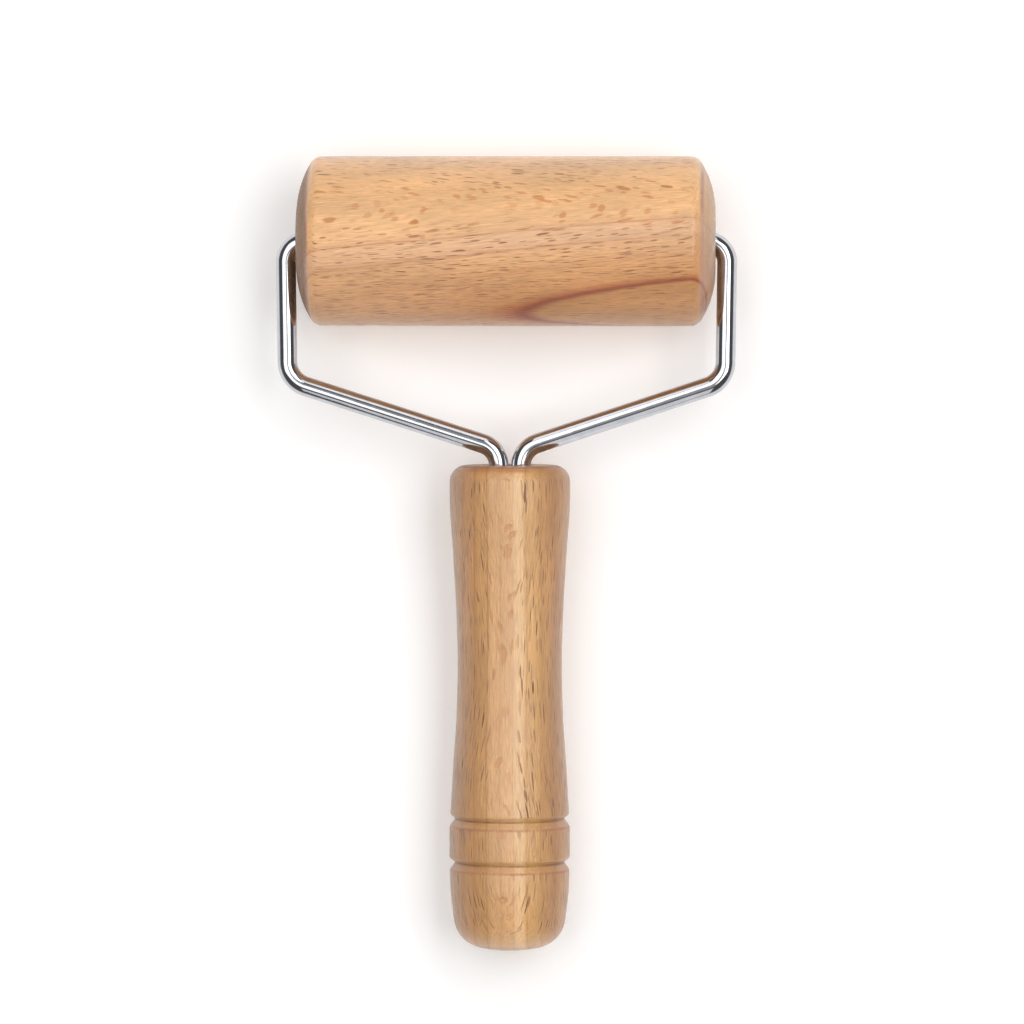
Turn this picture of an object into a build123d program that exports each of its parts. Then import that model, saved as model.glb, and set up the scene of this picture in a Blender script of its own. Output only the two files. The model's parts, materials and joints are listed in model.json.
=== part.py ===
from build123d import *

from math import asin, atan2, cos, degrees, hypot, radians, sin
import os

# A hand brayer. A domed beech roller turns on the bent ends of two chromed steel wires, and the
# wires' tails are glued side by side into a turned beech handle. The brayer lies at rest on the
# plane Z = 0, on its roller and on the pommel of its handle. X runs along the roller, Y from the
# handle to the roller, and the origin is under the middle of the whole.

# ---- Driving dimensions, in millimetres and degrees ----

# Roller
roller_length = 100.0
roller_radius = 20.3
straight_length = 78.0  # the middle of the roller is a true cylinder
end_drop = 0.25  # how much the radius loses from there to the rounded corner
end_flat_radius = 7.0  # the end is flat as far as this, then domed
dome_radius = 22.5
dome_turn = 36.0
corner_radius = 2.6
bore_radius = 4.75
bore_depth = 18.0
mouth_round = 0.5

# End bushes
bush_recess = 3.0
bush_length = 14.0
journal_clearance = 0.05
bush_lead_in = 0.6

# Yoke wires
wire_radius = 2.4
wire_end_chamfer = 0.5
journal_length = 13.5
leg_gap = 0.45  # between a wire's leg and the flat of the roller's end
leg_length = 33.4
leg_lean = 0.5  # the foot of each leg stands this much further in than its top
arm_drop = 16.2
top_bend_radius = 5.0
foot_bend_radius = 6.3
tail_bend_radius = 5.5
tail_spread = 2.65
tail_depth = 40.0

# Handle. The radii below are met at the named distances from the top of the handle.
handle_shift = 0.9  # the handle stands this much to the right of the roller's middle
handle_top = 53.5  # from the roller's axis down to the top of the handle
handle_length = 116.5
top_corner_radius = 4.0
shoulder_radius, shoulder_at = 14.45, 7.0
waist = [(13.62, 21.0), (12.87, 34.0), (12.5, 48.0), (12.85, 61.5), (13.6, 72.5)]
body_end_radius, body_end_at = 14.22, 83.1
body_end_slope = 0.07
groove_radius = 13.05
groove_places = [84.6, 95.0]
band_radius, band_start, band_end = 14.45, 86.3, 93.5
pommel_radius, pommel_at = 14.35, 96.6
pommel_side_radius = 76.0
pommel_side_turn = 13.0
pommel_corner_radius = 7.5
upper_lip_round = 1.0
lower_lip_round = 1.8
socket_radius = 5.45
socket_depth = 46.0

# Glue plug
glue_below_top = 0.8

# ---- How the brayer lies ----

# The underside of the pommel is an arc about a centre that is pommel_side_radius from its surface.
# The handle's axis slopes down by rest_tilt, which brings that arc to the plane the roller lies on.
pommel_centre_s = handle_top + pommel_at
pommel_centre_r = pommel_radius - pommel_side_radius
rest_tilt = asin(
    (roller_radius - pommel_side_radius) / hypot(pommel_centre_s, pommel_centre_r)
) - atan2(pommel_centre_r, pommel_centre_s)

# The far end of the handle is a dome that meets the side arc at the rim, and how far the handle
# reaches in Y depends on the dome's centre and radius alone.
rim_radius = pommel_centre_r + pommel_side_radius * cos(radians(pommel_side_turn))
rim_at = pommel_at + pommel_side_radius * sin(radians(pommel_side_turn))
dome_height = handle_length - rim_at
end_dome_radius = (rim_radius**2 + dome_height**2) / (2 * dome_height)
dome_centre_s = handle_top + handle_length - end_dome_radius
handle_reach = dome_centre_s * cos(rest_tilt) + end_dome_radius
roller_y = (handle_reach - roller_radius) / 2

# The yoke plane holds the roller's axis and the handle's axis. Its x is the roller's, its y points
# from the handle to the roller, and its origin is the middle of the roller.
slope = (0, -sin(rest_tilt), cos(rest_tilt))
yoke_plane = Plane(origin=(0, roller_y, roller_radius), x_dir=(1, 0, 0), z_dir=slope)
handle_plane = Plane(
    origin=yoke_plane.from_local_coords((handle_shift, -handle_top, 0)),
    x_dir=(1, 0, 0),
    z_dir=slope,
)
roller_axis = Axis(yoke_plane.origin, (1, 0, 0))
handle_axis = Axis(handle_plane.origin, handle_plane.y_dir)

roller_end = roller_length / 2
sides = {"left": -1, "right": 1}
os.makedirs("parts", exist_ok=True)


def corner(sketch, x, y):
    """The sketch's corner that is nearest to a place in the sketch's own plane."""
    return sketch.vertices().sort_by_distance((x, y, 0))[0]


# ---- Roller: half of its outline is turned about the axis, then mirrored ----
with BuildPart() as roller:
    with BuildSketch(yoke_plane) as roller_half:
        with BuildLine():
            dome = JernArc((roller_end, end_flat_radius), (0, 1), dome_radius, dome_turn)
            crest = dome @ 1
            Polyline(
                crest,
                (straight_length / 2, roller_radius),
                (0, roller_radius),
                (0, 0),
                (roller_end - bore_depth, 0),
                (roller_end - bore_depth, bore_radius),
                (roller_end, bore_radius),
                (roller_end, end_flat_radius),
            )
        make_face()
        fillet(corner(roller_half, crest.X, crest.Y), corner_radius)
        fillet(corner(roller_half, roller_end, bore_radius), mouth_round)
    revolve(axis=roller_axis)
    mirror(about=Plane.YZ)
roller.part.label = "roller"
export_step(roller.part, "parts/roller.step")

# ---- End bushes: plain sleeves, eased where the journal goes in ----
journal_bore_radius = wire_radius + journal_clearance
for side_name, side in sides.items():
    bush_face = yoke_plane.from_local_coords((side * (roller_end - bush_recess), 0, 0))
    with BuildPart() as bush:
        with BuildSketch(Plane(origin=bush_face, z_dir=(side, 0, 0))):
            Circle(bore_radius)
            Circle(journal_bore_radius, mode=Mode.SUBTRACT)
        extrude(amount=-bush_length)
        mouth = bush.faces().sort_by(Axis.X)[-1 if side > 0 else 0]
        chamfer(mouth.edges().sort_by(SortBy.RADIUS)[0], bush_lead_in)
    bush.part.label = f"{side_name}_end_bush"
    export_step(bush.part, f"parts/{side_name}_end_bush.step")

# ---- Yoke wires: journal, leg, slanted arm and tail, bent from one length each ----
leg_top = roller_end + leg_gap + wire_radius
wires = {}
for side_name, side in sides.items():
    tail_x = handle_shift + side * tail_spread
    with BuildPart() as wire:
        with BuildLine(yoke_plane) as path:
            FilletPolyline(
                (side * (leg_top - top_bend_radius - journal_length), 0),
                (side * leg_top, 0),
                (side * (leg_top - leg_lean), -leg_length),
                (tail_x, -leg_length - arm_drop),
                (tail_x, -handle_top - tail_depth),
                radius=[top_bend_radius, foot_bend_radius, tail_bend_radius],
            )
        with BuildSketch(Plane(origin=path.line @ 0, z_dir=path.line % 0)):
            Circle(wire_radius)
        sweep()
        cut_ends = wire.faces().filter_by(GeomType.PLANE)
        chamfer(cut_ends.edges().filter_by(GeomType.CIRCLE), wire_end_chamfer)
    wire.part.label = f"{side_name}_yoke_wire"
    export_step(wire.part, f"parts/{side_name}_yoke_wire.step")
    wires[side_name] = wire.part

# ---- Handle: one outline turned about its axis, with a socket bored down from the top ----
with BuildPart() as handle:
    with BuildSketch(handle_plane) as handle_half:
        with BuildLine():
            Polyline((0, -handle_length), (0, 0), (shoulder_radius, 0), (shoulder_radius, -shoulder_at))
            Spline(
                (shoulder_radius, -shoulder_at),
                *[(radius, -s) for radius, s in waist],
                (body_end_radius, -body_end_at),
                tangents=[(0, -1), (body_end_slope, -1)],
            )
            Polyline(
                (body_end_radius, -body_end_at),
                (groove_radius, -groove_places[0]),
                (band_radius, -band_start),
                (band_radius, -band_end),
                (groove_radius, -groove_places[1]),
                (pommel_radius, -pommel_at),
            )
            JernArc((pommel_radius, -pommel_at), (0, -1), pommel_side_radius, -pommel_side_turn)
            TangentArc((0, -handle_length), (rim_radius, -rim_at), tangent=(1, 0))
        make_face()
        fillet(corner(handle_half, shoulder_radius, 0), top_corner_radius)
        fillet(corner(handle_half, rim_radius, -rim_at), pommel_corner_radius)
        for lip_radius, lip_at in [(body_end_radius, body_end_at), (band_radius, band_end)]:
            fillet(corner(handle_half, lip_radius, -lip_at), upper_lip_round)
        for lip_radius, lip_at in [(band_radius, band_start), (pommel_radius, pommel_at)]:
            fillet(corner(handle_half, lip_radius, -lip_at), lower_lip_round)
    revolve(axis=handle_axis)
    with BuildSketch(Plane(origin=handle_plane.origin, z_dir=handle_plane.y_dir)):
        Circle(socket_radius)
    extrude(amount=-socket_depth, mode=Mode.SUBTRACT)
handle.part.label = "handle"
export_step(handle.part, "parts/handle.step")

# ---- Glue plug: what is left of the socket round the two tails ----
with BuildPart() as glue_plug:
    glue_top = handle_plane.from_local_coords((0, -glue_below_top, 0))
    with BuildSketch(Plane(origin=glue_top, z_dir=handle_plane.y_dir)):
        Circle(socket_radius)
    extrude(amount=glue_below_top - socket_depth)
    for wire_part in wires.values():
        add(wire_part, mode=Mode.SUBTRACT)
glue_plug.part.label = "glue_plug"
export_step(glue_plug.part, "parts/glue_plug.step")
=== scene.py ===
# %% [markdown]
# # A hand brayer in beech and chromed wire
# The brayer is a domed beech roller that spins on the bent ends of two chromed steel wires. The
# wires' tails are glued side by side into a turned beech handle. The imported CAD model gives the
# sizes, the places and the one joint. Everything below gives those same parts their finished
# surface: turned wood with its grain, and wire bent on a former and then plated.

# %% Load the fixed frame
import json
import math

import bmesh
import bpy
from mathutils import Matrix, Vector


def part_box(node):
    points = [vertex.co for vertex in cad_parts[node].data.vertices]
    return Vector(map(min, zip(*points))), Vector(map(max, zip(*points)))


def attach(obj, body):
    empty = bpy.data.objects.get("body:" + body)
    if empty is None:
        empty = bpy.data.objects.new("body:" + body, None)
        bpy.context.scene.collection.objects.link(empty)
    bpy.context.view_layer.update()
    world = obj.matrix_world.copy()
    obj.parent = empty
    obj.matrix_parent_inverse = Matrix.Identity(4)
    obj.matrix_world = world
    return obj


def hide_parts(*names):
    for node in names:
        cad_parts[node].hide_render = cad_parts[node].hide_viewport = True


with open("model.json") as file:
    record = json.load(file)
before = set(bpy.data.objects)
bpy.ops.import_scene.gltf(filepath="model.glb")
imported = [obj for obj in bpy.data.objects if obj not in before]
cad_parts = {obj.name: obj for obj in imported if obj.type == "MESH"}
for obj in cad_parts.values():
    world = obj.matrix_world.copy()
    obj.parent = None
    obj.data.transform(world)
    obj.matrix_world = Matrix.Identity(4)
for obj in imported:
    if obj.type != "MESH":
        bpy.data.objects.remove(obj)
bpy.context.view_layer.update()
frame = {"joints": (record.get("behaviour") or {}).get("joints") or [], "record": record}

# %% [markdown]
# ## Places
# The roller's box gives its length and radius, and the joint gives its axis. The grip band's mount
# lies on the handle's axis and points down it, so it gives the few degrees by which the handle
# slopes. All lengths that a drawing would state are in millimetres, times MM.

# %% The places that everything else is measured from
MM = 0.001
X, Y, Z = Vector((1, 0, 0)), Vector((0, 1, 0)), Vector((0, 0, 1))
HANDLE_DROP = 53.5  # from the roller's axis down to the handle's top

joint = frame["joints"][0]
mounts = {m["name"]: m for m in frame["record"]["mounts"]}
roller_low, roller_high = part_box("roller")
roller_radius = (roller_high.z - roller_low.z) / 2
roller_end = (roller_high.x - roller_low.x) / 2
roller_middle = Vector(joint["pos_m"])

down = Vector(mounts["grip_band"]["axis"]).normalized()  # down the handle, towards its pommel
out = down.cross(X)  # square to the roller's axis and to the handle's
handle_top = roller_middle + down * HANDLE_DROP * MM
handle_top.x = mounts["grip_band"]["pos_m"][0]
print("roller", roller_end * 2, "long,", roller_radius * 2, "across; handle top at", handle_top)


# %% [markdown]
# ## Helpers for modelling
# Blender's modelling operators work on what is selected in edit mode. These few helpers do what a
# hand does between two operators: start clean, pick faces or edges by where they are, and at the end
# leave the piece's origin at the world's origin with its place kept in its mesh.

# %% Helpers for modelling
def start_clean():
    """Nothing is selected, so that the next operator touches only what it should."""
    if bpy.context.object and bpy.context.object.mode != "OBJECT":
        bpy.ops.object.mode_set(mode="OBJECT")
    bpy.ops.object.select_all(action="DESELECT")


def pick(kind, test):
    """Selects the vertices, edges or faces of the mesh being edited whose middle passes the test."""
    shape = bmesh.from_edit_mesh(bpy.context.object.data)
    bpy.ops.mesh.select_mode(type={"verts": "VERT", "edges": "EDGE", "faces": "FACE"}[kind])
    bpy.ops.mesh.select_all(action="DESELECT")
    to_world = bpy.context.object.matrix_world
    count = 0
    for element in getattr(shape, kind):
        corners = [element] if kind == "verts" else element.verts
        if test(to_world @ (sum((v.co for v in corners), Vector()) / len(corners)), element):
            element.select = True
            count += 1
    shape.select_flush_mode()
    bmesh.update_edit_mesh(bpy.context.object.data)
    return count


def extrude_by(step):
    """Extrudes what is selected, and leaves the new end selected."""
    bpy.ops.mesh.extrude_region_move(TRANSFORM_OT_translate={"value": step})


def finish_piece(name, body, node, smooth_degrees=30):
    """Closes the piece, puts its origin at the world's origin, and says what it stands for."""
    bpy.ops.mesh.select_all(action="SELECT")
    bpy.ops.mesh.remove_doubles(threshold=0.002 * MM)
    bpy.ops.mesh.normals_make_consistent(inside=False)
    bpy.ops.object.mode_set(mode="OBJECT")
    piece = bpy.context.object
    piece.name = piece.data.name = name
    bpy.ops.object.transform_apply(location=True, rotation=True, scale=True)
    bpy.ops.object.shade_smooth_by_angle(angle=math.radians(smooth_degrees))
    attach(piece, body)
    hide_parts(node)
    shape = bmesh.new()
    shape.from_mesh(piece.data)
    open_edges = sum(not edge.is_manifold for edge in shape.edges)
    volume = shape.calc_volume() / MM**3
    shape.free()
    print(f"{name}: {len(piece.data.polygons)} faces, {open_edges} open edges, {volume:.0f} mm3")
    return piece


# %% [markdown]
# ## The roller
# A turned beech cylinder whose ends are domed and whose rims are sanded round, with a blind bore in
# each end. It could be an outline spun about its axis, but a turner starts from a cylinder, so this
# does too: each end face is extruded to where the rounding starts, then inset in small steps round
# the rim's arc and up the dome's arc, and the last inset is pushed in to become the bore.

# %% The shape of the roller's ends
ROLLER_STRAIGHT = 39.0  # half the length that is a true cylinder
END_FLAT = 7.0  # radius of the flat round the bore
DOME_RADIUS = 22.5
DOME_TURN = math.radians(36.0)  # how far the dome would turn to meet the flank at a sharp corner
DOME_STEPS = 16
RIM_RADIUS = 3.0
RIM_STEPS = 12
BORE = 4.75 * MM
BORE_DEPTH = 18.0 * MM
MOUTH_BEVEL = 0.5 * MM
MOUTH_STEPS = 5
ROUND = 144  # sides of anything that is turned


def on_arc(middle, radius, turn):
    return middle + radius * Vector((math.cos(turn), math.sin(turn)))


# Each place is (along the roller, radius). The flank tapers to the corner where the dome starts, and
# the rim's arc touches both the flank and the dome.
straight_end = Vector((ROLLER_STRAIGHT, roller_radius / MM))
dome_centre = Vector((roller_end / MM - DOME_RADIUS, END_FLAT))
corner = on_arc(dome_centre, DOME_RADIUS, DOME_TURN)
flank = (corner - straight_end).normalized()
square = Vector((-flank.y, flank.x))
rim_start = straight_end - square * RIM_RADIUS  # the rim's centre lies down the flank from here
start = rim_start - dome_centre
ahead = start.dot(flank)
slide = math.sqrt(ahead**2 - start.length_squared + (DOME_RADIUS - RIM_RADIUS) ** 2) - ahead
rim_centre = rim_start + flank * slide
first_turn = math.atan2(square.y, square.x)
last_turn = math.atan2(*(rim_centre - dome_centre).yx)
end_places = [
    on_arc(rim_centre, RIM_RADIUS, first_turn + (last_turn - first_turn) * k / RIM_STEPS)
    for k in range(RIM_STEPS + 1)
]
end_places += [
    on_arc(dome_centre, DOME_RADIUS, last_turn * (1 - k / DOME_STEPS))
    for k in range(1, DOME_STEPS + 1)
]
print("the rim starts", round(end_places[0].x, 2), "mm out, and the dome",
      round(end_places[RIM_STEPS].x, 2), "mm out")

# %% Model the roller
start_clean()
bpy.ops.mesh.primitive_cylinder_add(
    vertices=ROUND, radius=roller_radius, depth=2 * ROLLER_STRAIGHT * MM,
    location=roller_middle, rotation=(0, math.radians(90), 0),
)
bpy.ops.object.transform_apply(location=True, rotation=True, scale=True)
bpy.ops.object.mode_set(mode="EDIT")
for side in (-1, 1):
    pick("faces", lambda at, face: len(face.verts) == ROUND and at.x * side > 0)
    extrude_by(X * side * (end_places[0].x - ROLLER_STRAIGHT) * MM)
    shrink = end_places[0].y * MM / roller_radius
    bpy.ops.transform.resize(value=(1, shrink, shrink))
    for here, there in zip(end_places, end_places[1:]):
        bpy.ops.mesh.inset(
            thickness=(here.y - there.y) * MM, depth=(there.x - here.x) * MM, use_even_offset=False
        )
    bpy.ops.mesh.inset(thickness=END_FLAT * MM - BORE, depth=0, use_even_offset=False)
    extrude_by(X * -side * BORE_DEPTH)
    bpy.ops.mesh.inset(thickness=BORE / 2, depth=0, use_even_offset=False)


def on_ring(at_x, ring_radius, slack=0.05 * MM):
    """A test for edges that run round the roller at one place."""
    def test(at, edge):
        places = [v.co for v in edge.verts]
        return all(
            abs(abs(p.x) - at_x) < slack
            and abs(math.hypot(p.y - roller_middle.y, p.z - roller_middle.z) - ring_radius) < slack
            for p in places
        )
    return test


pick("edges", on_ring(roller_end, BORE))
bpy.ops.mesh.bevel(offset=MOUTH_BEVEL, segments=MOUTH_STEPS, profile=0.5, affect="EDGES")
beech_roller = finish_piece("beech_roller", "roller_assembly", "roller")

# %% [markdown]
# ## The handle
# A lathe job: one outline, turned about the handle's axis. So the outline is drawn as a turner would
# draw it, as a line of points that is extruded from the socket's floor, over the top, down the waist
# and the two V grooves to the pommel. Its sharp corners are then eased with a vertex bevel, and the
# line is spun once round. The waist is a smooth curve through a few widths taken down the handle.

# %% Draw the handle's outline
SOCKET = 5.45
SOCKET_DEPTH = 46.0
HANDLE_LENGTH = 116.5
SHOULDER = (14.45, 0.0)  # every corner is (radius, distance down the handle)
WAIST = [
    (14.45, 7.0), (13.62, 21.0), (12.87, 34.0), (12.5, 48.0), (12.85, 61.5), (13.6, 72.5),
    (14.25, 83.7),
]
WAIST_STEP = 1.2
LAST_SLOPE = 0.07  # how fast the waist still widens where the first groove cuts it
GROOVES = [(13.05, 84.7), (13.05, 95.15)]
BAND = [(14.45, 86.5), (14.45, 94.15)]
POMMEL = (14.35, 96.9)
POMMEL_SIDE_RADIUS = 76.0
POMMEL_SIDE_TURN = math.radians(13.0)
POMMEL_CORNER = 7.5
SIDE_STEPS, CORNER_STEPS, END_STEPS = 8, 12, 9
EASED = [  # a corner, how far back its rounding starts, and the rounding's steps
    (SHOULDER, 4.0, 12), ((SOCKET, 0.0), 0.35, 4), (WAIST[-1], 0.39, 5), (BAND[0], 0.64, 6),
    (BAND[1], 0.39, 5), (POMMEL, 0.64, 6), (GROOVES[0], 0.16, 2), (GROOVES[1], 0.16, 2),
]


def waist_points(stations, step):
    """A smooth curve through (radius, distance) stations, each as steep as its two neighbours."""
    slopes = [0.0]
    for before, after in zip(stations, stations[2:]):
        slopes.append((after[0] - before[0]) / (after[1] - before[1]))
    slopes.append(LAST_SLOPE)
    points = []
    for k, (start, end) in enumerate(zip(stations, stations[1:])):
        span = end[1] - start[1]
        for i in range(round(span / step)):
            t = i / round(span / step)
            blend_in = t * t * (3 - 2 * t)
            radius = (1 - blend_in) * start[0] + blend_in * end[0]
            radius += span * (t * (1 - t) ** 2 * slopes[k] - t * t * (1 - t) * slopes[k + 1])
            points.append((radius, start[1] + t * span))
    return points + [stations[-1]]


def arc_points(centre, radius, start, end, steps):
    """Points along an arc. Its angles grow from straight out of the handle towards the pommel."""
    angles = [start + (end - start) * i / steps for i in range(steps + 1)]
    return [(centre[0] + radius * math.cos(a), centre[1] + radius * math.sin(a)) for a in angles]


# The pommel's long side arc and its end dome are joined by a corner arc that touches both.
side_centre = Vector((POMMEL[0] - POMMEL_SIDE_RADIUS, POMMEL[1]))
rim = on_arc(side_centre, POMMEL_SIDE_RADIUS, POMMEL_SIDE_TURN)
dome_height = HANDLE_LENGTH - rim.y
end_radius = (rim.x**2 + dome_height**2) / (2 * dome_height)
end_centre = Vector((0, HANDLE_LENGTH - end_radius))
to_side, to_end = POMMEL_SIDE_RADIUS - POMMEL_CORNER, end_radius - POMMEL_CORNER
between = end_centre - side_centre
along = (to_side**2 - to_end**2 + between.length_squared) / (2 * between.length)
aside = math.sqrt(to_side**2 - along**2)
forward = between.normalized()
corner_centre = side_centre + forward * along + Vector((-forward.y, forward.x)) * aside
leave_side = math.atan2(*(corner_centre - side_centre).yx)
reach_end = math.atan2(*(corner_centre - end_centre).yx)

outline = [(0, SOCKET_DEPTH), (SOCKET, SOCKET_DEPTH), (SOCKET, 0), SHOULDER]
outline += waist_points(WAIST, WAIST_STEP)
outline += [GROOVES[0], *BAND, GROOVES[1]]
outline += arc_points(side_centre, POMMEL_SIDE_RADIUS, 0, leave_side, SIDE_STEPS)
outline += arc_points(corner_centre, POMMEL_CORNER, leave_side, reach_end, CORNER_STEPS)[1:]
outline += arc_points(end_centre, end_radius, reach_end, math.pi / 2, END_STEPS)[1:-1]
outline += [(0, HANDLE_LENGTH)]
print("outline of", len(outline), "points, widest", max(r for r, s in outline))


# %% Turn the handle
def on_handle(radius, distance):
    """A place on the outline, in the plane through the handle's axis and along the roller."""
    return handle_top + X * radius * MM + down * distance * MM


def ease(corner, offset, segments):
    """Rounds one corner of the outline."""
    place = on_handle(*corner)
    pick("verts", lambda at, vertex: (at - place).length < 0.02 * MM)
    bpy.ops.mesh.bevel(offset=offset * MM, segments=segments, affect="VERTICES")


start_clean()
bpy.ops.mesh.primitive_plane_add(size=MM, location=on_handle(*outline[0]))
bpy.ops.object.transform_apply(location=True, rotation=True, scale=True)
bpy.ops.object.mode_set(mode="EDIT")
bpy.ops.mesh.select_mode(type="VERT")
bpy.ops.mesh.merge(type="CENTER")
for before, after in zip(outline, outline[1:]):
    step = on_handle(*after) - on_handle(*before)
    bpy.ops.mesh.extrude_vertices_move(TRANSFORM_OT_translate={"value": step})
for corner, offset, segments in EASED:
    ease(corner, offset, segments)
bpy.ops.mesh.select_all(action="SELECT")
bpy.ops.mesh.spin(steps=ROUND, angle=math.tau, center=handle_top, axis=down, use_auto_merge=True)
beech_handle = finish_piece("beech_handle", "handle_and_yoke", "handle", 40)

# %% [markdown]
# ## The yoke wires
# Each side of the yoke is one length of 4.8 mm wire with three bends. A curve with a round bevel
# would give the same tube, but here the wire is made as it is in the workshop: a round end is fed
# out along a straight, swung round a former for each bend, and fed out again. Extrude feeds, and
# spin bends.

# %% Bend the yoke wires
WIRE = 2.4 * MM  # half its thickness
WIRE_SIDES = 40
WIRE_END_BEVEL = 0.5 * MM
BENDS = [5.0, 6.3, 5.5]  # radius of each former, to the wire's middle
BEND_STEPS = 14
JOURNAL = 13.5  # the straight that turns in the bush
LEG_GAP = 0.45  # between the roller's end and the leg
LEG_DROP, LEG_LEAN = 33.4, 0.5  # the leg's length, and how far it leans in over that length
ARM_DROP = 16.2
TAIL_SPREAD, TAIL_DEPTH = 2.65, 40.0


def in_yoke(x, below):
    """A place in the yoke's plane: x along the roller, and how far below the roller's axis."""
    return roller_middle + X * x * MM + down * below * MM


def wire_corners(side):
    """Both ends of the wire, and the sharp corners that its three bends round off."""
    leg_top = roller_end / MM + LEG_GAP + WIRE / MM
    tail = handle_top.x / MM + side * TAIL_SPREAD
    return [
        in_yoke(side * (leg_top - BENDS[0] - JOURNAL), 0),
        in_yoke(side * leg_top, 0),
        in_yoke(side * (leg_top - LEG_LEAN), LEG_DROP),
        in_yoke(tail, LEG_DROP + ARM_DROP),
        in_yoke(tail, HANDLE_DROP + TAIL_DEPTH),
    ]


def bend_wire(corners):
    """Feeds the open end out along each straight, and swings it round a former at each corner."""
    here = corners[0]
    for before, corner, after, bend in zip(corners, corners[1:], corners[2:], BENDS):
        arrive, leave = (corner - before).normalized(), (after - corner).normalized()
        turn = arrive.angle(leave)
        bend_start = corner - arrive * bend * MM * math.tan(turn / 2)
        extrude_by(bend_start - here)
        axis = arrive.cross(leave).normalized()
        centre = bend_start + axis.cross(arrive) * bend * MM
        bpy.ops.mesh.spin(steps=BEND_STEPS, angle=-turn, center=centre, axis=axis)
        here = corner + leave * bend * MM * math.tan(turn / 2)
        loop = [v.co for v in bmesh.from_edit_mesh(bpy.context.object.data).verts if v.select]
        off = (sum(loop, Vector()) / len(loop) - here).length
        angle = math.degrees(turn)
        print(f"  bend of {angle:.1f} degrees ends {off / MM:.4f} mm from its drawn place")
    extrude_by(corners[-1] - here)


yoke_wires = {}
for side_name, side in (("left", -1), ("right", 1)):
    corners = wire_corners(side)
    start_clean()
    bpy.ops.mesh.primitive_circle_add(
        vertices=WIRE_SIDES, radius=WIRE, fill_type="NOTHING",
        location=corners[0], rotation=(0, math.radians(90), 0),
    )
    bpy.ops.object.transform_apply(location=True, rotation=True, scale=True)
    bpy.ops.object.mode_set(mode="EDIT")
    bpy.ops.mesh.select_all(action="SELECT")
    bend_wire(corners)
    for end in (corners[0], corners[-1]):
        pick("edges", lambda at, edge: edge.is_boundary and (at - end).length < 1.2 * WIRE)
        bpy.ops.mesh.edge_face_add()
    pick("edges", lambda at, edge: any(len(face.verts) == WIRE_SIDES for face in edge.link_faces))
    bpy.ops.mesh.bevel(offset=WIRE_END_BEVEL, segments=3, affect="EDGES")
    yoke_wires[side_name] = finish_piece(
        f"{side_name}_chromed_wire", "handle_and_yoke", f"{side_name}_yoke_wire", 60
    )

# %% [markdown]
# ## The end bushes
# A moulded nylon sleeve sits in each end of the roller, three millimetres below the face, and the
# wire turns in it. A cylinder has both of its ends inset to the bore, and a bridge between the two
# insets opens it. Its rims are eased, with a wider lead-in where the wire goes in.

# %% Model the end bushes
BUSH_LENGTH = 14.0 * MM
BUSH_RECESS = 3.0 * MM
JOURNAL_BORE = 2.45 * MM
LEAD_IN, BUSH_EASE = 0.6 * MM, 0.25 * MM
BUSH_SIDES = 96

end_bushes = []
for side_name, side in (("left", -1), ("right", 1)):
    middle = roller_middle + X * side * (roller_end - BUSH_RECESS - BUSH_LENGTH / 2)
    start_clean()
    bpy.ops.mesh.primitive_cylinder_add(
        vertices=BUSH_SIDES, radius=BORE, depth=BUSH_LENGTH,
        location=middle, rotation=(0, math.radians(90), 0),
    )
    bpy.ops.object.transform_apply(location=True, rotation=True, scale=True)
    bpy.ops.object.mode_set(mode="EDIT")
    pick("faces", lambda at, face: len(face.verts) == BUSH_SIDES)
    bpy.ops.mesh.inset(thickness=BORE - JOURNAL_BORE, depth=0, use_even_offset=False)
    bpy.ops.mesh.bridge_edge_loops()
    outer_end = middle.x + side * BUSH_LENGTH / 2

    def rim_test(radius, only_outer):
        """A test for edges that run round the bush at one of its ends."""
        def test(at, edge):
            places = [v.co for v in edge.verts]
            return all(
                abs(math.hypot(p.y - middle.y, p.z - middle.z) - radius) < 0.05 * MM
                and (abs(p.x - outer_end) < 0.01 * MM or not only_outer)
                for p in places
            ) and abs(places[0].x - places[1].x) < 0.01 * MM
        return test

    pick("edges", rim_test(JOURNAL_BORE, True))
    bpy.ops.mesh.bevel(offset=LEAD_IN, segments=3, affect="EDGES")
    pick("edges", rim_test(BORE, False))
    bpy.ops.mesh.bevel(offset=BUSH_EASE, segments=3, affect="EDGES")
    end_bushes.append(finish_piece(
        f"{side_name}_nylon_bush", "roller_assembly", f"{side_name}_end_bush"
    ))

# %% [markdown]
# ## The glue
# Epoxy fills the handle's socket round the two tails. It wets the wood and the steel, so its surface
# climbs a little at the edge and dips between. The plug is a cylinder whose top is inset into a
# shallow dish, and a Boolean takes the two wires out of it.

# %% Pour the glue plug
GLUE_TOP = 0.8 * MM  # how far below the handle's top the glue stops
GLUE_DIP = 0.16 * MM
# Each ring of the dish: its width, and how many dips it falls.
GLUE_DISH = [(0.3, 1.6), (0.4, 0.9), (0.6, 0.4), (0.9, 0.1)]
GLUE_SIDES = 96

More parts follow.
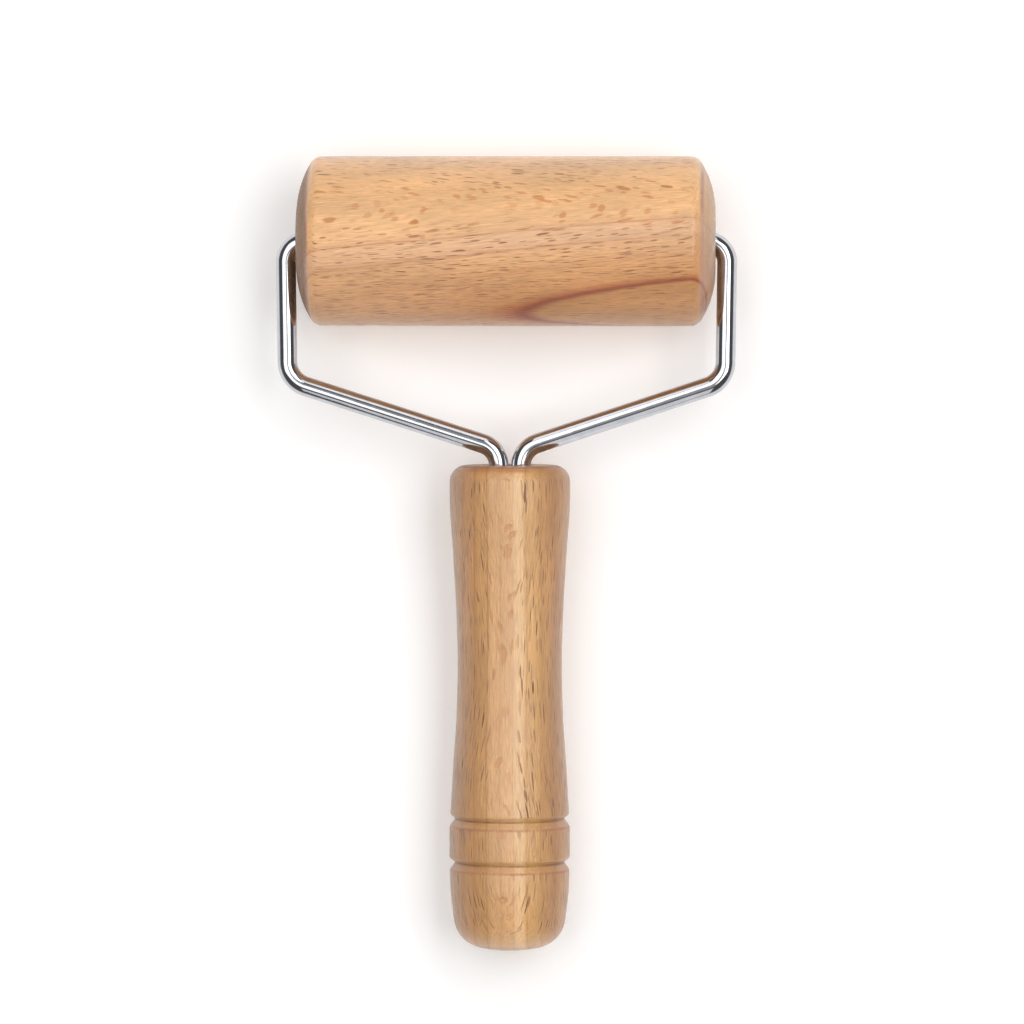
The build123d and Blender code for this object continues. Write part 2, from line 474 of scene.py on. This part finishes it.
glue_depth = SOCKET_DEPTH * MM - GLUE_TOP
start_clean()
bpy.ops.mesh.primitive_cylinder_add(
    vertices=GLUE_SIDES, radius=SOCKET * MM, depth=glue_depth,
    location=handle_top + down * (GLUE_TOP + glue_depth / 2),
    rotation=(-down).to_track_quat("Z", "Y").to_euler(),
)
bpy.ops.object.transform_apply(location=True, rotation=True, scale=True)
bpy.ops.object.mode_set(mode="EDIT")
glue_face = handle_top + down * GLUE_TOP
pick("faces", lambda at, face: len(face.verts) == GLUE_SIDES and (at - glue_face).length < MM)
for width, fall in GLUE_DISH:
    bpy.ops.mesh.inset(thickness=width * MM, depth=-fall * GLUE_DIP, use_even_offset=False)
bpy.ops.object.mode_set(mode="OBJECT")
glue = bpy.context.object
for wire in yoke_wires.values():
    cut = glue.modifiers.new("wire", "BOOLEAN")
    cut.operation, cut.solver, cut.object = "DIFFERENCE", "EXACT", wire
    bpy.ops.object.modifier_apply(modifier=cut.name)
bpy.ops.object.mode_set(mode="EDIT")
epoxy_plug = finish_piece("epoxy_plug", "handle_and_yoke", "glue_plug", 40)

# %% [markdown]
# ## Helpers for finishes
# Every finish below is a tree of shader nodes. One function adds a node with its settings and what
# feeds it, and one turns a hex colour, as a paint chart gives it, into the linear values that Blender
# works in. Patterns are measured in millimetres, so a Mapping node first turns each piece's own
# coordinates into millimetres along, across and through the wood.

# %% Helpers for finishes
def colour(hex_code):
    """An sRGB hex colour as linear RGBA."""
    parts = [int(hex_code[i : i + 2], 16) / 255 for i in (1, 3, 5)]
    return [c / 12.92 if c <= 0.04045 else ((c + 0.055) / 1.055) ** 2.4 for c in parts] + [1.0]


def add(tree, kind, feeds=(), stops=(), **settings):
    """Adds a shader node. It is fed numbers, colours, nodes or outputs, in order or by socket name."""
    node = tree.nodes.new("ShaderNode" + kind)
    for name, value in settings.items():
        setattr(node, name, value)
    sockets = [s for s in node.inputs if s.enabled]
    named = feeds.items() if isinstance(feeds, dict) else enumerate(feeds)
    for key, value in named:
        socket = next(s for s in sockets if s.name == key) if isinstance(key, str) else sockets[key]
        if isinstance(value, bpy.types.Node):
            value = next(s for s in value.outputs if s.enabled)
        if isinstance(value, bpy.types.NodeSocket):
            tree.links.new(value, socket)
        elif value is not None:
            socket.default_value = value
    if stops:
        ramp = node.color_ramp
        while len(ramp.elements) < len(stops):
            ramp.elements.new(1.0)
        for element, (place, shade) in zip(ramp.elements, stops):
            element.position = place
            element.color = colour(shade) if isinstance(shade, str) else (shade, shade, shade, 1)
    return node


def new_material(name):
    """An empty material and its tree."""
    material = bpy.data.materials.new(name)
    material.use_nodes = True
    material.node_tree.nodes.clear()
    return material, material.node_tree


def wear(piece, material):
    """Gives a piece its finish."""
    piece.data.materials.clear()
    piece.data.materials.append(material)
    print(piece.name, "is finished in", material.name)


# %% [markdown]
# ## Beech
# Beech shows three things: rays, rings and fibres. A ray is a thin plate of cells that stands along
# the grain. Cut across its edge it is a short dark dash, and cut along its face it is a broad tan
# flake. The rings are faint lines round the tree's heart, and the fibres are fine streaks. All three
# are drawn in the solid wood, not on its skin, so a turned piece cuts through them as a lathe does,
# and dashes become flakes where they should. Both parts are sanded and have one thin coat of satin
# lacquer, which leaves the pores open and gives a soft, grainy highlight. The ends are raw end grain
# that drinks the lacquer, so they are darker and duller, and one end is darkened more as painted
# shade. The wood's tone also carries painted highlight and painted shade, set for each piece below.

# %% What beech shows, with its sizes in millimetres
# Each kind of ray: its cell along, across and through the wood, half a ray the same three ways, the
# least random value that shows one, and how strong it is.
ROLLER_RAYS = [
    ((5.0, 1.2, 5.0), (2.0, 0.14, 2.4), 0.4, 0.95),
    ((3.0, 0.6, 2.6), (1.3, 0.09, 1.3), 0.15, 0.8),
    ((6.0, 0.45, 2.4), (2.3, 0.07, 1.2), 0.15, 0.8),
]
HANDLE_RAYS = [
    ((9.0, 2.0, 5.0), (1.8, 0.14, 2.2), 0.5, 1.9),
    ((5.5, 0.6, 3.0), (2.3, 0.09, 1.5), 0.15, 1.0),
    ((7.5, 0.4, 2.4), (3.2, 0.065, 1.2), 0.1, 1.0),
]
RAGGED = 0.9  # how far the fibres tear a ray's outline
RAY_CORE, RAY_EDGE = 0.6, 1.0  # a ray fades between these shares of its size
ON_SIDE = [(0.27, 0.0), (0.4, 1.0), (0.6, 1.0), (0.73, 0.0)]  # rays fade towards the ends
RING_LINE = [(0.0, 0.9), (0.04, 0.3), (0.14, 0.0), (0.62, 0.0), (0.93, 0.35), (0.99, 1.0)]
WARP_CELL = (55.0, 16.0, 16.0)
WARP = (0.0, 0.8, 0.8)
MOTTLE_CELL = (34.0, 7.0, 7.0)
FIBRE_CELL = (5.0, 0.3, 0.3)
END_PORE_CELL = (4.0, 0.32, 0.32)
END_PORE, END_WOOD, END_RING = "#66412a", "#95683f", "#5a3621"
RELIEF_CELL = (1.6, 0.5, 0.5)  # real pores are 0.1 mm, drawn coarser so that they show
RELIEF_DEPTH = 0.14 * MM
SATIN = 0.12  # the lacquer's roughness


# %% Rays
def draw_rays(tree, wood, fibre, rays, on_side, ray_shade, tone):
    """Draws each kind of ray over the tone, and also gives where the open pores are."""
    pores = None
    for cell, half, least, strength in rays:
        cells = add(tree, "VectorMath", (wood, [1 / c for c in cell]), operation="MULTIPLY")
        nearest = add(tree, "TexVoronoi", {"Vector": cells, "Scale": 1.0})
        offset = add(tree, "VectorMath", (cells, nearest.outputs["Position"]), operation="SUBTRACT")
        shape = [c / h for c, h in zip(cell, half)]
        offset = add(tree, "VectorMath", (offset, shape), operation="MULTIPLY")
        far = add(tree, "VectorMath", (offset,), operation="LENGTH")
        torn = add(tree, "Math", (fibre, RAGGED, far.outputs["Value"]), operation="MULTIPLY_ADD")
        inside = add(
            tree, "MapRange", (torn, RAY_CORE + RAGGED / 2, RAY_EDGE + RAGGED / 2, 1.0, 0.0),
            interpolation_type="SMOOTHSTEP",
        )
        chance = add(tree, "SeparateColor", (nearest.outputs["Color"],))
        bold = add(tree, "MapRange", (chance, least, 1.0, 0.0, strength))
        mask = add(tree, "Math", (inside, bold), operation="MULTIPLY")
        mask = add(tree, "Math", (mask, on_side), operation="MULTIPLY", use_clamp=True)
        tone = add(tree, "Mix", (mask, tone, ray_shade), data_type="RGBA")
        pores = add(tree, "Math", (pores, mask), operation="MAXIMUM") if pores else mask
    return tone, pores


# %% The lathe's lines, and painted shade in the grooves
def draw_lines_and_groove_shade(tree, along, lines_and_groove_shade, uneven, tone):
    """Draws lines round a piece: those that the lathe and the lacquer leave, and painted shade in the
    handle's grooves.
    """
    for mark, half_width, mark_shade, strength in lines_and_groove_shade:
        away = add(tree, "Math", (along, mark), operation="SUBTRACT")
        away = add(tree, "Math", (away,), operation="ABSOLUTE")
        near = add(
            tree, "MapRange", (away, 0.0, half_width, strength, 0.0), interpolation_type="SMOOTHSTEP"
        )
        near = add(tree, "Math", (near, uneven), operation="MULTIPLY")
        tone = add(tree, "Mix", (near, tone, colour(mark_shade)), data_type="RGBA")
    return tone


# %% End grain
def draw_end_grain(tree, wood, facing, end_grain_and_shade, ring_mask, tone):
    """The ends soak up lacquer, so they are darker; a stronger share at one end is painted shade. This
    also gives how much of an end shows.
    """
    near_end, far_end = end_grain_and_shade
    stops = [(0.054, near_end), (0.082, 0.0), (0.925, 0.0), (0.955, far_end)]
    end_grain = add(tree, "ValToRGB", (facing,), stops=stops)
    specks = add(tree, "VectorMath", (wood, [1 / c for c in END_PORE_CELL]), operation="MULTIPLY")
    specks = add(tree, "TexNoise", {"Vector": specks, "Scale": 1.0, "Detail": 2.0})
    open_ends = add(tree, "MapRange", (specks, 0.4, 0.62, 0.0, 1.0))
    end_tone = add(tree, "Mix", (open_ends, colour(END_PORE), colour(END_WOOD)), data_type="RGBA")
    end_tone = add(tree, "Mix", (ring_mask, end_tone, colour(END_RING)), data_type="RGBA")
    return add(tree, "Mix", (end_grain, tone, end_tone), data_type="RGBA"), end_grain


# %% Beech as a solid
def ramp_stops(places, reach):
    """Depths in the wood as places on a colour ramp that spans the reach."""
    return [((at - reach[0]) / (reach[1] - reach[0]), shade) for at, shade in places]


def beech(
    name, middle, axis, grain, ray, ring_way, rays, ring, ring_show, reach, tones_and_painted_light, ray_dark, flake,
    ring_shade, lines_and_groove_shade, end_grain_and_shade
):
    """
    Solid beech for a piece with this middle and axis. Depths are counted along ring_way: ring is the
    first ring and the spacing, ring_show how clearly rings show, and the tone stops give the wood's
    shades together with any painted highlight and painted shade, over a reach of depths. Each line
    round the piece is (distance from the middle along the axis, half width, shade, strength); most
    are lines the lathe and the lacquer leave, and the grooves' dark lines are painted shade. The last
    argument is how much dark end tone each end shows: end grain, with painted shade where one end gets
    more.
    """
    material, tree = new_material(name)
    turn = Matrix((grain, ray, grain.cross(ray)))
    place = add(tree, "TexCoord")
    wood = add(
        tree, "Mapping",
        (place.outputs["Object"], turn @ middle * -1000, turn.to_euler(), (1000, 1000, 1000)),
    )
    # The whole solid wanders a little, as a tree grows.
    slow = add(tree, "VectorMath", (wood, [1 / c for c in WARP_CELL]), operation="MULTIPLY")
    sway = add(tree, "TexNoise", {"Vector": slow, "Scale": 1.0, "Detail": 3.0})
    centred = add(tree, "VectorMath", (sway.outputs["Color"], (0.5, 0.5, 0.5)), operation="SUBTRACT")
    wood = add(tree, "VectorMath", (centred, [2 * w for w in WARP], wood), operation="MULTIPLY_ADD")

    # Fibres and a slow mottle.
    fine = add(tree, "VectorMath", (wood, [1 / c for c in FIBRE_CELL]), operation="MULTIPLY")
    fibre = add(tree, "TexNoise", {"Vector": fine, "Scale": 1.0, "Detail": 3.0, "Roughness": 0.6})
    slow = add(tree, "VectorMath", (wood, [1 / c for c in MOTTLE_CELL]), operation="MULTIPLY")
    mottle = add(tree, "TexNoise", {"Vector": slow, "Scale": 1.0, "Detail": 2.0})

    # The rings are so wide here that they are as good as flat, and each ends in a thin dark line.
    depth = add(tree, "VectorMath", (wood, turn @ ring_way), operation="DOT_PRODUCT")
    depth = depth.outputs["Value"]
    first, spacing = ring
    count = add(tree, "Math", (depth, 1 / spacing, -first / spacing), operation="MULTIPLY_ADD")
    phase = add(tree, "Math", (count,), operation="FRACT")
    ring_line = add(tree, "ValToRGB", (phase,), stops=RING_LINE)

    # Both the tone and how clearly a ring shows change with the depth in the wood. The tone stops also
    # hold painted highlight and painted shade, laid out along the same depth.
    wide = add(tree, "MapRange", (depth, reach[0], reach[1], 0.0, 1.0))
    shown = add(tree, "ValToRGB", (wide,), stops=ramp_stops(ring_show, reach))
    uneven = add(tree, "MapRange", (mottle, 0.3, 0.6, 0.35, 1.0))
    ring_mask = add(tree, "Math", (ring_line, uneven), operation="MULTIPLY")
    ring_mask = add(tree, "Math", (ring_mask, shown), operation="MULTIPLY")
    tone = add(tree, "ValToRGB", (wide,), stops=ramp_stops(tones_and_painted_light, reach))
    cloudy = add(tree, "MapRange", (mottle, 0.3, 0.7, 0.88, 1.1))
    streaky = add(tree, "MapRange", (fibre, 0.25, 0.75, 0.78, 1.2))
    shade = add(tree, "Math", (cloudy, streaky), operation="MULTIPLY")
    tone = add(tree, "VectorMath", (tone, shade), operation="SCALE")
    tone = add(tree, "Mix", (ring_mask, tone, colour(ring_shade)), data_type="RGBA")

    # Which way the surface faces along the axis, from 0 at one end of the piece to 1 at the other.
    facing = add(tree, "VectorMath", (place.outputs["Normal"], axis), operation="DOT_PRODUCT")
    facing = add(tree, "MapRange", (facing.outputs["Value"], -1.0, 1.0, 0.0, 1.0))

    # Rays show dark where the surface cuts their edges and pale where it runs along them.
    across = add(tree, "VectorMath", (place.outputs["Normal"], ray), operation="DOT_PRODUCT")
    across = add(tree, "Math", (across.outputs["Value"],), operation="ABSOLUTE")
    flat_cut = add(tree, "MapRange", (across, 0.93, 0.99, 0.0, 1.0), interpolation_type="SMOOTHSTEP")
    ray_shade = add(tree, "Mix", (flat_cut, colour(ray_dark), colour(flake)), data_type="RGBA")
    on_side = add(tree, "ValToRGB", (facing,), stops=ON_SIDE)
    tone, pores = draw_rays(tree, wood, fibre, rays, on_side, ray_shade, tone)

    centre = add(tree, "VectorMath", (place.outputs["Object"], middle), operation="SUBTRACT")
    along = add(tree, "VectorMath", (centre, axis * 1000), operation="DOT_PRODUCT")
    along = add(tree, "Math", (along.outputs["Value"],), operation="ABSOLUTE")
    tone = draw_lines_and_groove_shade(tree, along, lines_and_groove_shade, uneven, tone)
    tone, end_grain = draw_end_grain(tree, wood, facing, end_grain_and_shade, ring_mask, tone)

    # Open pores are tiny pits, and the fibres stand a few hundredths of a millimetre proud.
    coarse = add(tree, "VectorMath", (wood, [1 / c for c in RELIEF_CELL]), operation="MULTIPLY")
    grain_relief = add(tree, "TexNoise", {"Vector": coarse, "Scale": 1.0, "Detail": 2.0})
    height = add(tree, "Math", (grain_relief, 1.4, fibre), operation="MULTIPLY_ADD")
    height = add(tree, "Math", (pores, -0.8, height), operation="MULTIPLY_ADD")
    relief = add(tree, "Bump", {"Height": height, "Strength": 0.9, "Distance": RELIEF_DEPTH})

    # The lacquer is duller on open pores and thin on the ends, which drink it.
    gloss = add(tree, "MapRange", (fibre, 0.3, 0.7, 0.36, 0.5))
    gloss = add(tree, "Math", (pores, 0.2, gloss), operation="MULTIPLY_ADD")
    gloss = add(tree, "Math", (end_grain, 0.25, gloss), operation="MULTIPLY_ADD")
    lacquer = add(tree, "MapRange", (end_grain, 0.0, 1.0, 0.75, 0.2))
    shader = add(tree, "BsdfPrincipled", {
        "Base Color": tone, "Roughness": gloss, "Normal": relief, "IOR": 1.5,
        "Coat Weight": lacquer, "Coat Roughness": SATIN, "Coat IOR": 1.5, "Coat Normal": relief,
    })
    add(tree, "OutputMaterial", (shader,))
    print(name, "has", len(tree.nodes), "nodes")
    return material


# %% [markdown]
# The roller's blank was cut near the heart side of its board, so the rays stand upright a little
# behind its top, and one reddish heart streak makes a long V along its front. The handle's grain
# runs straight down it.

# %% Finish the roller and the handle
def tilted(angle, toward, up):
    """The up direction, leaned by the angle."""
    return (up * math.cos(angle) + toward * math.sin(angle)).normalized()


ROLLER_RAY_LEAN = math.radians(22.0)
ROLLER_RING_LEAN = math.radians(-60.0)
ROLLER_RAY_DRIFT, ROLLER_RING_DRIFT = -0.045, 0.0804  # how far they lean along the roller
ring_way = (tilted(ROLLER_RING_LEAN, Y, Z) + X * ROLLER_RING_DRIFT).normalized()
ray_way = (tilted(ROLLER_RAY_LEAN, Y, Z) + X * ROLLER_RAY_DRIFT).normalized()
grain_way = (ray_way.cross(ring_way)).normalized()
roller_wood = beech(
    "satin_lacquered_beech_roller", roller_middle, X, grain_way, ray_way, ring_way, ROLLER_RAYS,
    ring=(9.17, 3.72), reach=(-10.0, 24.0),
    ring_show=[
        (6.0, 0.1), (8.0, 0.65), (9.5, 0.65), (11.0, 0.5), (13.5, 0.5), (15.0, 0.3), (18.0, 0.2),
    ],
    # The tone darkens towards the roller's front, partly the wood's own and partly painted shade; the
    # dark reddish stops from 20.2 to 20.9 are the heart streak.
    tones_and_painted_light=[
        (-10.0, "#e9b27a"), (4.0, "#ebb479"), (8.9, "#eab37b"), (9.4, "#e7b282"), (12.3, "#e4af80"),
        (13.2, "#dfa874"), (16.6, "#da9f67"), (19.6, "#d39357"), (20.2, "#c06f32"),
        (20.45, "#9f450b"), (20.6, "#963a04"), (20.9, "#c68848"), (24.0, "#ca8d50"),
    ],
    ray_dark="#8f4f1c", flake="#cc7c36", ring_shade="#b06632",
    # The left end gets more of the dark end tone than the right: the end grain is real, and the extra
    # on the left is painted shade.
    lines_and_groove_shade=[(46.9, 0.9, "#9c4f22", 0.85)], end_grain_and_shade=(0.9, 0.4),
)
wear(beech_roller, roller_wood)

HANDLE_RAY_LEAN = math.radians(-3.0)
ray_way = tilted(HANDLE_RAY_LEAN, X, out)
handle_wood = beech(
    "satin_lacquered_beech_handle", handle_top, down, down, ray_way, down.cross(ray_way),
    HANDLE_RAYS,
    ring=(1.22, 3.16), reach=(-14.0, 14.0),
    ring_show=[(-6.7, 0.6), (-3.4, 0.5), (-1.2, 0.3), (2.8, 0.4), (4.0, 0.9), (7.1, 0.8)],
    # The pale band of tone from -4.8 to -1.6 is a painted highlight, and the darker tone towards both
    # sides, strongest at the edges and on the left half, is painted shade.
    tones_and_painted_light=[
        (-11.1, "#b8814a"), (-7.4, "#d8a468"), (-4.8, "#dda96d"), (-4.2, "#e7b985"), (-2.2, "#e7b985"),
        (-1.6, "#dba873"), (3.8, "#d8a46d"), (4.9, "#ca965c"), (8.5, "#c38c55"), (13.4, "#b27e4a"),
    ],
    ray_dark="#6f3f18", flake="#cd9260", ring_shade="#a86f39",
    # The two dark brown lines at the groove bottoms are painted shade; the reddish lines at the lips
    # and round the top are left by the lathe and the lacquer.
    lines_and_groove_shade=[
        (84.8, 0.35, "#6d4020", 0.85), (95.25, 0.35, "#6d4020", 0.85), (86.6, 0.5, "#a05630", 0.75),
        (97.0, 0.5, "#a05630", 0.75), (0.8, 1.0, "#b3673a", 0.6),
    ],
    end_grain_and_shade=(0.5, 0.3),
)
wear(beech_handle, handle_wood)

# %% [markdown]
# ## Chromed wire
# Steel wire is bent, polished and plated with nickel and chrome. Chrome mirrors the room with a
# bluish grey cast. Its plating follows every small wave that the bending left, so its reflections
# wander instead of running as ruled lines.

# %% Finish the wires
CHROME_WAVE, CHROME_HAZE = 7 * MM, 2.5 * MM

chrome, tree = new_material("chromed_steel_wire")
place = add(tree, "TexCoord")
wave = add(
    tree, "TexNoise", {"Vector": place.outputs["Object"], "Scale": 1 / CHROME_WAVE, "Detail": 1.0}
)
haze = add(
    tree, "TexNoise", {"Vector": place.outputs["Object"], "Scale": 1 / CHROME_HAZE, "Detail": 3.0}
)
peel = add(tree, "Math", (haze, 0.18, wave), operation="MULTIPLY_ADD")
relief = add(tree, "Bump", {"Height": peel, "Strength": 0.25, "Distance": 0.12 * MM})
tint = add(tree, "MapRange", (haze, 0.3, 0.7, 0.0, 1.0))
tint = add(tree, "Mix", (tint, colour("#bdbec3"), colour("#c9cacf")), data_type="RGBA")
polish = add(tree, "MapRange", (haze, 0.3, 0.7, 0.05, 0.1))
shader = add(tree, "BsdfPrincipled", {
    "Base Color": tint, "Metallic": 1.0, "Roughness": polish, "Normal": relief,
})
add(tree, "OutputMaterial", (shader,))
for wire in yoke_wires.values():
    wear(wire, chrome)

# %% [markdown]
# ## Nylon and epoxy
# The bushes are moulded in natural nylon, a milky, slightly waxy white. The epoxy is a pale amber
# resin that set glossy, with a few trapped bubbles.

# %% Finish the bushes and the glue
NYLON_SKIN, EPOXY_BUBBLE, EPOXY_RIPPLE = 0.8 * MM, 1.1 * MM, 2.2 * MM

nylon, tree = new_material("natural_nylon")
place = add(tree, "TexCoord")
skin = add(
    tree, "TexNoise", {"Vector": place.outputs["Object"], "Scale": 1 / NYLON_SKIN, "Detail": 2.0}
)
relief = add(tree, "Bump", {"Height": skin, "Strength": 0.15, "Distance": 0.05 * MM})
milk = add(tree, "Mix", (skin, colour("#dcd6c6"), colour("#ebe6d8")), data_type="RGBA")
wax = add(tree, "MapRange", (skin, 0.3, 0.7, 0.35, 0.48))
shader = add(tree, "BsdfPrincipled", {
    "Base Color": milk, "Roughness": wax, "Normal": relief, "IOR": 1.53,
    "Subsurface Weight": 0.15, "Subsurface Scale": 0.8 * MM,
})
add(tree, "OutputMaterial", (shader,))
for bush in end_bushes:
    wear(bush, nylon)

resin, tree = new_material("set_epoxy")
place = add(tree, "TexCoord")
bubble = add(tree, "TexVoronoi", {"Vector": place.outputs["Object"], "Scale": 1 / EPOXY_BUBBLE})
dimple = add(tree, "MapRange", (bubble, 0.0, 0.28, 0.0, 1.0), interpolation_type="SMOOTHSTEP")
ripple = add(
    tree, "TexNoise", {"Vector": place.outputs["Object"], "Scale": 1 / EPOXY_RIPPLE, "Detail": 2.0}
)
height = add(tree, "Math", (ripple, dimple), operation="ADD")
relief = add(tree, "Bump", {"Height": height, "Strength": 0.3, "Distance": 0.08 * MM})
amber = add(tree, "Mix", (ripple, colour("#a98a58"), colour("#cbb184")), data_type="RGBA")
shine = add(tree, "MapRange", (ripple, 0.3, 0.7, 0.08, 0.2))
shader = add(tree, "BsdfPrincipled", {
    "Base Color": amber, "Roughness": shine, "Normal": relief, "IOR": 1.55,
})
add(tree, "OutputMaterial", (shader,))
wear(epoxy_plug, resin)

# %% [markdown]
# ## The studio
# The brayer lies flat on a pale table under two large soft lights. The camera looks down between
# them, from a little to the right of straight above. A third soft light stands beyond the roller,
# and a weaker panel beyond the pommel. The room is pale near the floor and dark higher up, so that
# the chrome has something dark to mirror.

# %% The table
TABLE_SIZE = 8.0
TABLE_GAP = 0.05 * MM  # keeps the table's face clear of the brayer's lowest points

start_clean()
bpy.ops.mesh.primitive_plane_add(size=TABLE_SIZE, location=(0, 0, -TABLE_GAP))
table = bpy.context.object
table.name = "table"
paper, tree = new_material("white_table")
shader = add(tree, "BsdfPrincipled", {
    "Base Color": colour("#f4f4f4"), "Roughness": 0.9,
    "Emission Color": colour("#ffffff"), "Emission Strength": 0.18,
})
add(tree, "OutputMaterial", (shader,))
wear(table, paper)


# %% The lights
def soft_light(name, place, size, radiance, aim=None):
    """A rectangular lamp, so bright that its face shows as the given radiance."""
    lamp = bpy.data.lights.new(name, "AREA")
    lamp.shape, lamp.size, lamp.size_y = "RECTANGLE", size[0], size[1]
    lamp.energy = radiance * math.pi * size[0] * size[1]
    holder = bpy.data.objects.new(name, lamp)
    bpy.context.scene.collection.objects.link(holder)
    holder.location = place
    if aim is not None:
        holder.rotation_euler = (Vector(aim) - Vector(place)).to_track_quat("-Z", "Y").to_euler()
    print(name, "gives", round(lamp.energy, 1), "W")


soft_light("right_softbox", (0.97, 0.35, 1.8), (1.18, 1.84), 3.6)
soft_light("left_softbox", (-0.78, 0.35, 1.8), (1.44, 1.84), 1.8)
soft_light("far_softbox", (0, 1.587, 1.2175), (1.5, 1.0), 1.35, aim=(0, 0, 0))
soft_light("near_panel", (0, -1.774, 0.9235), (1.5, 2.08), 0.88, aim=(0, 0, 0))

# %% The room
world = bpy.data.worlds.new("room")
bpy.context.scene.world = world
world.use_nodes = True
world.node_tree.nodes.clear()
tree = world.node_tree
way = add(tree, "TexCoord")
split = add(tree, "SeparateXYZ", (way.outputs["Generated"],))
room = add(
    tree, "ValToRGB", (split.outputs["Z"],),
    stops=[(0.0, 0.75), (0.06, 0.7), (0.16, 0.11), (0.86, 0.1), (0.96, 0.45)],
)
sky = add(tree, "Background", (room, 1.0))
add(tree, "OutputWorld", (sky,))

# %% The camera
CAMERA_LENS = 228.5
CAMERA_HEIGHT = 1553 * MM
CAMERA_AIM = (1.5 * MM, 10.2 * MM)
CAMERA_LEAN = math.radians(2.1)  # to the right, so that a little more of the right end shows
CAMERA_ROLL = math.radians(0.12)

bpy.context.scene.view_settings.view_transform = "Standard"
lens = bpy.data.cameras.new("camera")
lens.lens, lens.sensor_width = CAMERA_LENS, 36.0
lens.clip_start, lens.clip_end = 0.05, 50.0
camera = bpy.data.objects.new("camera", lens)
bpy.context.scene.collection.objects.link(camera)
camera_target = Vector((*CAMERA_AIM, roller_middle.z))
camera_side = Vector((math.sin(CAMERA_LEAN), 0, math.cos(CAMERA_LEAN)))
camera.location = camera_target + CAMERA_HEIGHT * camera_side
camera.rotation_euler = (0, CAMERA_LEAN, CAMERA_ROLL)
bpy.context.scene.camera = camera
